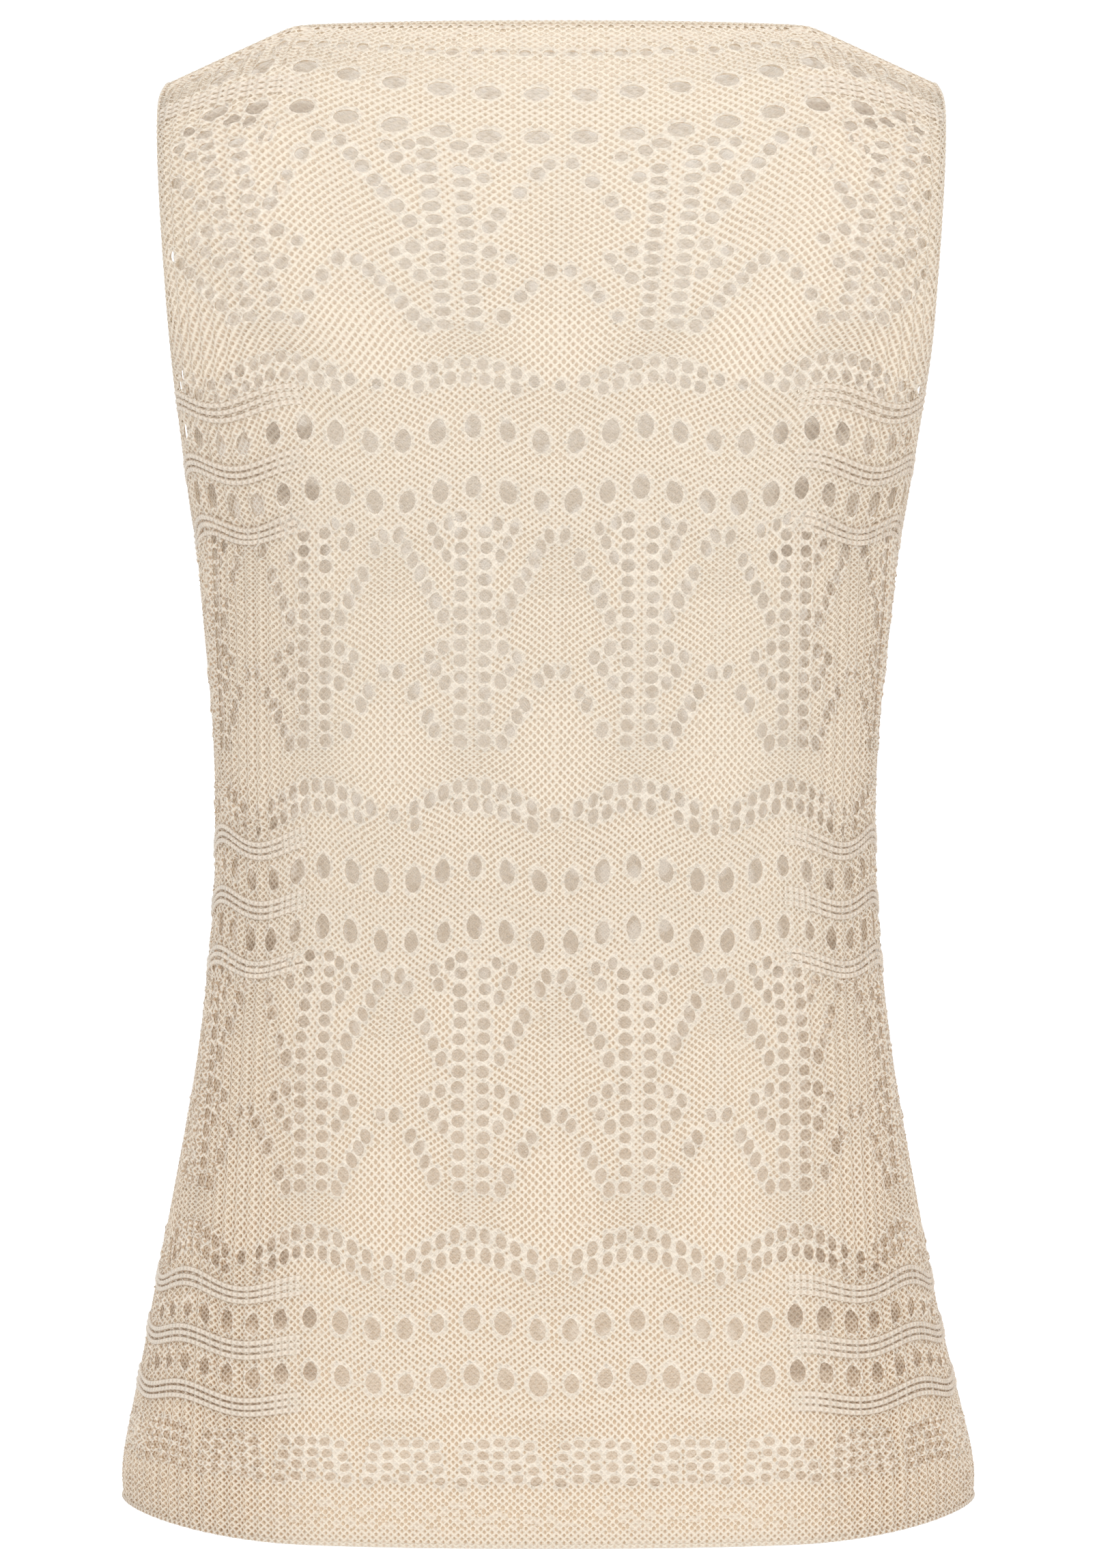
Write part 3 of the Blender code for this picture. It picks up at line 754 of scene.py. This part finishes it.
def yarn_finish(name, thinness, hollow_shade, middle_tone, top_highlight, side_shade=(0.70, 0.57, 0.45), grooves=False,
                hem_shade=(1, 1, 1), inside=None):
    """Stitches of a shiny cream yarn with several plies. The map counts wales across and staggered rows up.
    The colour runs from a painted shade in the hollows between the strands to a painted highlight on their tops,
    and the loops round the large holes get a painted highlight too. Between the stitches of the sides, where the
    cloth lies slack, and in the grooves beside the rolls, the yarn is darker by side_shade, a painted shade.
    Towards the hem it is darker by hem_shade, a painted shade. If inside is given, the cloth's inner side (its
    back faces) has that lighter colour and its outer side keeps the darker one: painted light and shade by side."""
    material = plain_finish(name, (0.88, 0.79, 0.66, 1), 0.50)
    nodes = Nodes(material)
    shader = material.node_tree.nodes["Principled BSDF"]
    shader.inputs["Sheen Weight"].default_value = 0.25
    shader.inputs["Sheen Roughness"].default_value = 0.4
    shader.inputs["Specular IOR Level"].default_value = 0.45
    place = nodes.add("ShaderNodeUVMap", uv_map="knit")
    split = nodes.add("ShaderNodeSeparateXYZ")
    nodes.link(place.outputs["UV"], split.inputs[0])
    x, y = split.outputs["X"], split.outputs["Y"]
    rising = nodes.math("SUBTRACT", y, nodes.math("MULTIPLY", x, 2.0))
    falling = nodes.math("ADD", y, nodes.math("MULTIPLY", x, 2.0))

    def strand(across, along):
        """Rounded strand, 1 along its middle, with the plies as fine slanting lines."""
        body = nodes.math("MULTIPLY_ADD", nodes.math("COSINE", nodes.math("MULTIPLY", across, math.pi)), -0.5)
        body.node.inputs[2].default_value = 0.5
        twist = nodes.math("ADD", nodes.math("MULTIPLY", along, 7.0), nodes.math("MULTIPLY", across, 4.0))
        ply = nodes.math("MULTIPLY", nodes.math("SINE", twist), 0.10)
        return nodes.math("ADD", body, nodes.math("MULTIPLY", ply, body))

    left, right = strand(rising, falling), strand(falling, rising)
    relief = nodes.math("MAXIMUM", left, right)
    bump = nodes.add("ShaderNodeBump")
    bump.inputs["Strength"].default_value = 0.8
    bump.inputs["Distance"].default_value = 0.0007
    nodes.link(relief, bump.inputs["Height"])
    nodes.link(bump.outputs["Normal"], shader.inputs["Normal"])

    spots = nodes.add("ShaderNodeTexNoise")
    spots.inputs["Scale"].default_value = 1.7
    spots.inputs["Detail"].default_value = 3.0
    nodes.link(place.outputs["UV"], spots.inputs["Vector"])
    tone = nodes.math("MULTIPLY_ADD", spots.outputs["Fac"], 0.5)
    tone.node.inputs[2].default_value = 0.25
    # Painted shade and highlight: the colour follows the strands' relief, darker in the hollows between them and
    # lighter on their tops; the noise adds a tone that differs at random.
    blend = nodes.math("MULTIPLY", nodes.math("POWER", relief, 0.7), 0.75)
    depth = nodes.math("ADD", blend, nodes.math("MULTIPLY", tone, 0.45))
    colour = nodes.add("ShaderNodeValToRGB")
    colour.color_ramp.elements[0].position = 0.05
    colour.color_ramp.elements[0].color = (*hollow_shade, 1)
    colour.color_ramp.elements[1].position = 0.95
    colour.color_ramp.elements[1].color = (*top_highlight, 1)
    middle = colour.color_ramp.elements.new(0.55)
    middle.color = (*middle_tone, 1)
    nodes.link(depth, colour.inputs["Fac"])
    tint = colour.outputs["Color"]
    # Painted light and shade by side: the back faces, the cloth's inner side, get the lighter colour inside, and
    # the front faces keep the darker ramp, a painted shade.
    if inside:
        tint = nodes.mixed(nodes.add("ShaderNodeNewGeometry").outputs["Backfacing"], tint, inside)
    # Painted highlight on the loops of yarn round the large holes.
    rim_highlight = nodes.add("ShaderNodeAttribute", attribute_name="rim_highlight")
    tint = nodes.mixed(nodes.math("MULTIPLY", rim_highlight.outputs["Fac"], 0.65), tint, (0.99, 0.93, 0.83))
    # Painted shade at the sides: between the stitches, or in the grooves beside the rolls, the colour is darkened
    # by side_shade towards the panel's sides, less so in the yoke.
    spot = nodes.add("ShaderNodeTexCoord")
    axes = nodes.add("ShaderNodeSeparateXYZ")
    nodes.link(spot.outputs["Object"], axes.inputs[0])
    side = nodes.ranged(nodes.math("ABSOLUTE", axes.outputs["X"]), 0.078, 0.130, interpolation="SMOOTHSTEP")
    side_shade_share = nodes.math("MULTIPLY", side, nodes.ranged(axes.outputs["Z"], -0.11, -0.24, 0.25))
    if grooves:
        gap = nodes.ranged(nodes.math("ABSOLUTE", y), 0.35, 0.85)
    else:
        gap = nodes.ranged(relief, 0.95, 0.25)
    tint = nodes.mixed(nodes.math("MULTIPLY", side_shade_share, gap), tint, side_shade, "MULTIPLY")
    # Painted shade: darker towards the hem by hem_shade.
    tint = nodes.mixed(nodes.ranged(axes.outputs["Z"], -0.28, -0.55), tint, hem_shade, "MULTIPLY")
    nodes.link(tint, shader.inputs["Base Color"])

    through = nodes.add("ShaderNodeBsdfTranslucent")
    nodes.link(tint, through.inputs["Color"])
    nodes.link(bump.outputs["Normal"], through.inputs["Normal"])
    thin = nodes.add("ShaderNodeMixShader")
    thin.inputs["Fac"].default_value = thinness
    nodes.link(shader.outputs["BSDF"], thin.inputs[1])
    nodes.link(through.outputs["BSDF"], thin.inputs[2])
    nodes.link(thin.outputs["Shader"], material.node_tree.nodes["Material Output"].inputs["Surface"])
    return material


def ridges(name, cloth):
    """The rolls of the purl ridges where the cloth isn't stretched: they rise towards the sides."""
    points, faces, uvs = [], [], []
    round_angles = np.radians((-80, -35, 0, 35, 80))
    for ridge in RIDGES:
        for roll in (-1, 0, 1):
            drop = ridge + roll * COURSE
            for hand in (-1, 1):
                c = hand * np.arange(SIDE_FROM, 0.3, 0.0013)
                v = cloth.height_at(drop) + bend_at(c, drop) + wave_at(cloth, c, drop)
                inside = (np.abs(c) < cloth.half_length(v) - 0.0012) & (side_share(c) > 0.15)
                c, v = c[inside], v[inside]
                wale = c / repeat_at(drop) * WALES
                rise = SIDE_RIDGE[1] * side_share(c) * (0.80 + 0.20 * np.sin(2 * math.pi * wale))
                if drop < 0.1:
                    rise *= 0.5
                start = len(points)
                for angle in round_angles:
                    out = rise * math.cos(angle) - 0.0005
                    points.extend(cloth.place(c, v + SIDE_RIDGE[0] * math.sin(angle), out).tolist())
                    uvs.extend(np.stack([wale, np.full_like(c, 2 * angle / math.pi)], 1).tolist())
                count = len(c)
                for row in range(len(round_angles) - 1):
                    for k in range(count - 1):
                        a = start + row * count + k
                        face = (a, a + 1, a + 1 + count, a + count)
                        faces.append(face if hand * cloth.side < 0 else face[::-1])
    mesh = bpy.data.meshes.new(name)
    mesh.from_pydata(points, [], faces)
    corner = np.empty(len(mesh.loops), dtype=np.int64)
    mesh.loops.foreach_get("vertex_index", corner)
    mesh.uv_layers.new(name="knit").data.foreach_set("uv", np.array(uvs)[corner].ravel())
    mesh.shade_smooth()
    rolls = bpy.data.objects.new(name, mesh)
    bpy.context.scene.collection.objects.link(rolls)
    finish_pieces([rolls], [roll_yarn])
    return rolls


yarn = yarn_finish("cream_yarn_lace", 0.38, (0.64, 0.47, 0.33), (0.875, 0.762, 0.63), (0.965, 0.895, 0.775))
# The rolls at the sides are a darker copy of the yarn, a painted shade, with more painted shade in the grooves
# beside them.
roll_yarn = yarn_finish("cream_yarn_rolls", 0.20, (0.60, 0.45, 0.32), (0.80, 0.68, 0.55), (0.89, 0.80, 0.68),
                        side_shade=(0.60, 0.48, 0.37), grooves=True)
# The inner halves of the stitches have a darker tone, a painted shade seen through the holes from outside, and a
# lighter inner side.
shaded_inner_yarn = yarn_finish("cream_yarn_inside", 0.34, (0.70, 0.55, 0.41), (0.84, 0.72, 0.59), (0.90, 0.81, 0.69),
                         side_shade=(0.54, 0.42, 0.31), hem_shade=(0.93, 0.86, 0.78),
                         inside=(0.98, 0.925, 0.85))
back = Cloth(BACK_SECTIONS, BACK_REACH, side=-1, leaf_shift=0.0, aside=0.0036)
back_lace, back_inner = knit_panel("back_lace", back, corners=6, seed=11)
back_ridges = ridges("back_ridges", back)
finish_pieces(back_lace, [yarn], "back_panel")
finish_pieces(back_inner, [shaded_inner_yarn])

# The front panel is the same lace in the same yarn, cut the same way with room for the bust. It is linked to
# the back at the sides and shoulders. No hole goes through its inner half of stitches: behind each hole the inner
# half is a patch of painted shade.
FRONT_REACH = 0.042
# From the hem up, at the heights of the back's sections: how far its middle stands out, and how much it dips.
FRONT_DEPTHS = (0.110, 0.111, 0.110, 0.105, 0.098, 0.094, 0.104, 0.118,
                0.119, 0.112, 0.102, 0.092, 0.081, 0.069, 0.057, 0.046)
FRONT_DIPS = (0.0000,) * 13 + (0.0006, 0.0018, 0.0030)
FRONT_SECTIONS = [
    (drop, end_rise, dip, half_width, depth, neck_share)
    for (drop, end_rise, _, half_width, _, neck_share), dip, depth
    in zip(BACK_SECTIONS, FRONT_DIPS, FRONT_DEPTHS)
]

# Painted shade: the patches of the front's inner half behind its holes are a dark copy of the yarn.
shaded_yarn = yarn_finish("cream_yarn_shaded", 0.40, (0.52, 0.42, 0.32), (0.60, 0.49, 0.38), (0.66, 0.55, 0.44),
                          hem_shade=(0.93, 0.86, 0.78), inside=(0.94, 0.88, 0.80))
front = Cloth(FRONT_SECTIONS, FRONT_REACH, side=1, leaf_shift=0.5, aside=0.0)
front_lace, front_inner = knit_panel("front_lace", front, corners=5, seed=12, shaded=True)
front_ridges = ridges("front_ridges", front)
finish_pieces(front_lace, [yarn], "front_panel")
finish_pieces(front_inner, [shaded_inner_yarn, shaded_yarn])

# The neck, both armholes and the hem each end in one row of chain stitches in the same yarn. It is linked onto
# the edge of the lace and stands slightly proud of it.
EDGE_STEP = 0.0010
EDGE_SIDES = 10
STITCH_LENGTH = 0.0029
TOP_SLACK = 1e-6                    # a chain's run stays this far inside the cloth's ends
NECK_ROLL = (0.0010, 0.0009)        # half the width and half the thickness of the chain
ARMHOLE_ROLL = (0.0010, 0.0010)
HEM_ROLL = (0.0009, 0.0010)
EDGE_INSET = 0.0009                 # so far the middle of the chain lies inside the edge


def edge_run(cloth, c, v):
    """Points and outward normals of the cloth along places on its edge."""
    c, v = np.broadcast_arrays(np.asarray(c, float), np.asarray(v, float))
    normal = cloth.look_up(cloth.normals, c, v)
    return np.hstack([leaned(cloth.look_up(cloth.points, c, v)),
                      normal / np.linalg.norm(normal, axis=1, keepdims=True)])


def chain(name, runs, closed, roll, inset):
    """A chain of stitches along the runs, with a swell at each stitch."""
    path = np.vstack(runs)
    step = np.linalg.norm(np.diff(path[:, :3], axis=0), axis=1)
    path = path[np.concatenate([[True], step > 0.00002])]
    if closed:
        path = np.vstack([path, path[:1]])
    run = np.concatenate([[0], np.cumsum(np.linalg.norm(np.diff(path[:, :3], axis=0), axis=1))])
    count = int(run[-1] / EDGE_STEP)
    even = np.linspace(0, run[-1], count + 1)
    path = np.stack([np.interp(even, run, path[:, k]) for k in range(6)], 1)
    if closed:
        path = path[:-1]
        tangent = np.roll(path[:, :3], -1, axis=0) - np.roll(path[:, :3], 1, axis=0)
        normal = sum(np.roll(path[:, 3:], k, axis=0) for k in range(-6, 7))
    else:
        tangent = np.gradient(path[:, :3], axis=0)
        normal = path[:, 3:]
    tangent /= np.linalg.norm(tangent, axis=1, keepdims=True)
    normal -= tangent * np.sum(normal * tangent, axis=1, keepdims=True)
    normal /= np.linalg.norm(normal, axis=1, keepdims=True)
    aside = np.cross(tangent, normal)
    along = even[:len(path)] / STITCH_LENGTH
    swell = 0.86 + 0.22 * np.abs(np.sin(math.pi * along))
    turn = 2 * math.pi * np.arange(EDGE_SIDES) / EDGE_SIDES
    across = (roll[0] * swell[:, None] * np.cos(turn))[:, :, None] * aside[:, None]
    through = (roll[1] * swell[:, None] * np.sin(turn))[:, :, None] * normal[:, None]
    centre = path[:, :3] - 0.0004 * normal + inset * aside
    points = (centre[:, None] + across + through).reshape(-1, 3)
    faces = []
    rings = len(path)
    for k in range(rings if closed else rings - 1):
        a, b = k * EDGE_SIDES, (k + 1) % rings * EDGE_SIDES
        for s in range(EDGE_SIDES):
            t = (s + 1) % EDGE_SIDES
            faces.append((a + s, b + s, b + t, a + t))
    if not closed:
        faces.append(tuple(range(EDGE_SIDES)))
        faces.append(tuple((rings - 1) * EDGE_SIDES + s for s in reversed(range(EDGE_SIDES))))
    mesh = bpy.data.meshes.new(name)
    mesh.from_pydata(points.tolist(), [], faces)
    knit = mesh.uv_layers.new(name="knit")
    last_ring = (rings - 1) * EDGE_SIDES
    for face in mesh.polygons:
        rows = [mesh.loops[i].vertex_index for i in face.loop_indices]
        wrap = max(rows) % EDGE_SIDES == EDGE_SIDES - 1 and min(r % EDGE_SIDES for r in rows) == 0
        for i, vertex in zip(face.loop_indices, rows):
            ring, side = divmod(vertex, EDGE_SIDES)
            if wrap and side == 0:
                side = EDGE_SIDES
            if closed and ring == 0 and max(rows) >= last_ring:
                ring = rings
            knit.data[i].uv = (ring * EDGE_STEP / STITCH_LENGTH, side * 4 / EDGE_SIDES)
    mesh.shade_smooth()
    edge = bpy.data.objects.new(name, mesh)
    bpy.context.scene.collection.objects.link(edge)
    finish_pieces([edge], [yarn])
    return edge


def top_row(cloth, low, high):
    """Places along the top row from x = low to high, as shares of the shoulder's half width."""
    reach = float(cloth.half_length(cloth.length))
    return edge_run(cloth, np.linspace(low, high, 200) * reach, cloth.length - TOP_SLACK)


def neck_share(cloth):
    """Where the neck opening ends, as a share of the cloth along the top row."""
    last = cloth.points[-1]
    return float(np.interp(NECK_END * last[-1, 0], last[:, 0], np.linspace(0, 1, ACROSS + 1)))


def side_run(cloth, hand, low, high):
    v = np.linspace(low, high, 200)
    return edge_run(cloth, hand * cloth.half_length(v), v)


neck_edge = chain("neck_edge", [top_row(back, -neck_share(back), neck_share(back)),
                                top_row(front, neck_share(front), -neck_share(front))],
                  True, NECK_ROLL, EDGE_INSET)
hem_width = {cloth: float(cloth.half_length(0.0)) for cloth in (back, front)}
hem_back = edge_run(back, np.linspace(-hem_width[back], hem_width[back], 300), TOP_SLACK)
hem_front = edge_run(front, np.linspace(hem_width[front], -hem_width[front], 300), TOP_SLACK)
hem_edge = chain("hem_edge", [hem_back, hem_front], True, HEM_ROLL, -EDGE_INSET)
armhole_edges = []
for hand, word in ((1, "right"), (-1, "left")):
    low = {cloth: float(cloth.height_at(UNDERARM)) for cloth in (back, front)}
    back_side = side_run(back, hand, low[back], back.length - TOP_SLACK)
    front_side = side_run(front, hand, low[front], front.length - TOP_SLACK)[::-1]
    armhole_edges.append(chain(f"armhole_edge_{word}", [back_side, front_side], True, ARMHOLE_ROLL,
                               -hand * EDGE_INSET))

# Both panels are linked edge to edge along the sides and the shoulders with a fine chain in the same yarn. It
# starts at the hem and ends at the underarm, and runs from the neck edge to the shoulder's end.
SEAM_ROLL = (0.0008, 0.0008)
SEAM_START = 0.002
SEAM_END = 0.995                    # as a share of the top row
side_seams, shoulder_seams = [], []
for hand, word in ((1, "right"), (-1, "left")):
    side = side_run(back, hand, SEAM_START, float(back.height_at(UNDERARM)))
    side_seams.append(chain(f"side_seam_{word}", [side], False, SEAM_ROLL, 0.0))
    shoulder = top_row(back, hand * neck_share(back), hand * SEAM_END)
    shoulder_seams.append(chain(f"shoulder_seam_{word}", [shoulder], False, SEAM_ROLL, 0.0))


# Each panel was one flat cloth before it was linked to the other. The two halves of its stitches and the pieces
# of its face half are parts of that cloth. For each piece this works out the cloth's widths over its heights and
# does nothing more with them.
def cut_sheets(pieces, cloth, cuts, trims):
    for piece, low, high, sewn_on in zip(pieces, cuts[:-1], cuts[1:], trims):
        v = np.linspace(low, min(high, cloth.length), 200)
        widths = 2 * cloth.half_length(v)


cut_sheets(back_lace, back, PIECE_CUTS,
           ([hem_edge], [back_ridges, *side_seams], [neck_edge, *armhole_edges, *shoulder_seams]))
cut_sheets(back_inner, back, WHOLE, ([],))
cut_sheets(front_lace, front, PIECE_CUTS, ([], [front_ridges], []))
cut_sheets(front_inner, front, WHOLE, ([],))
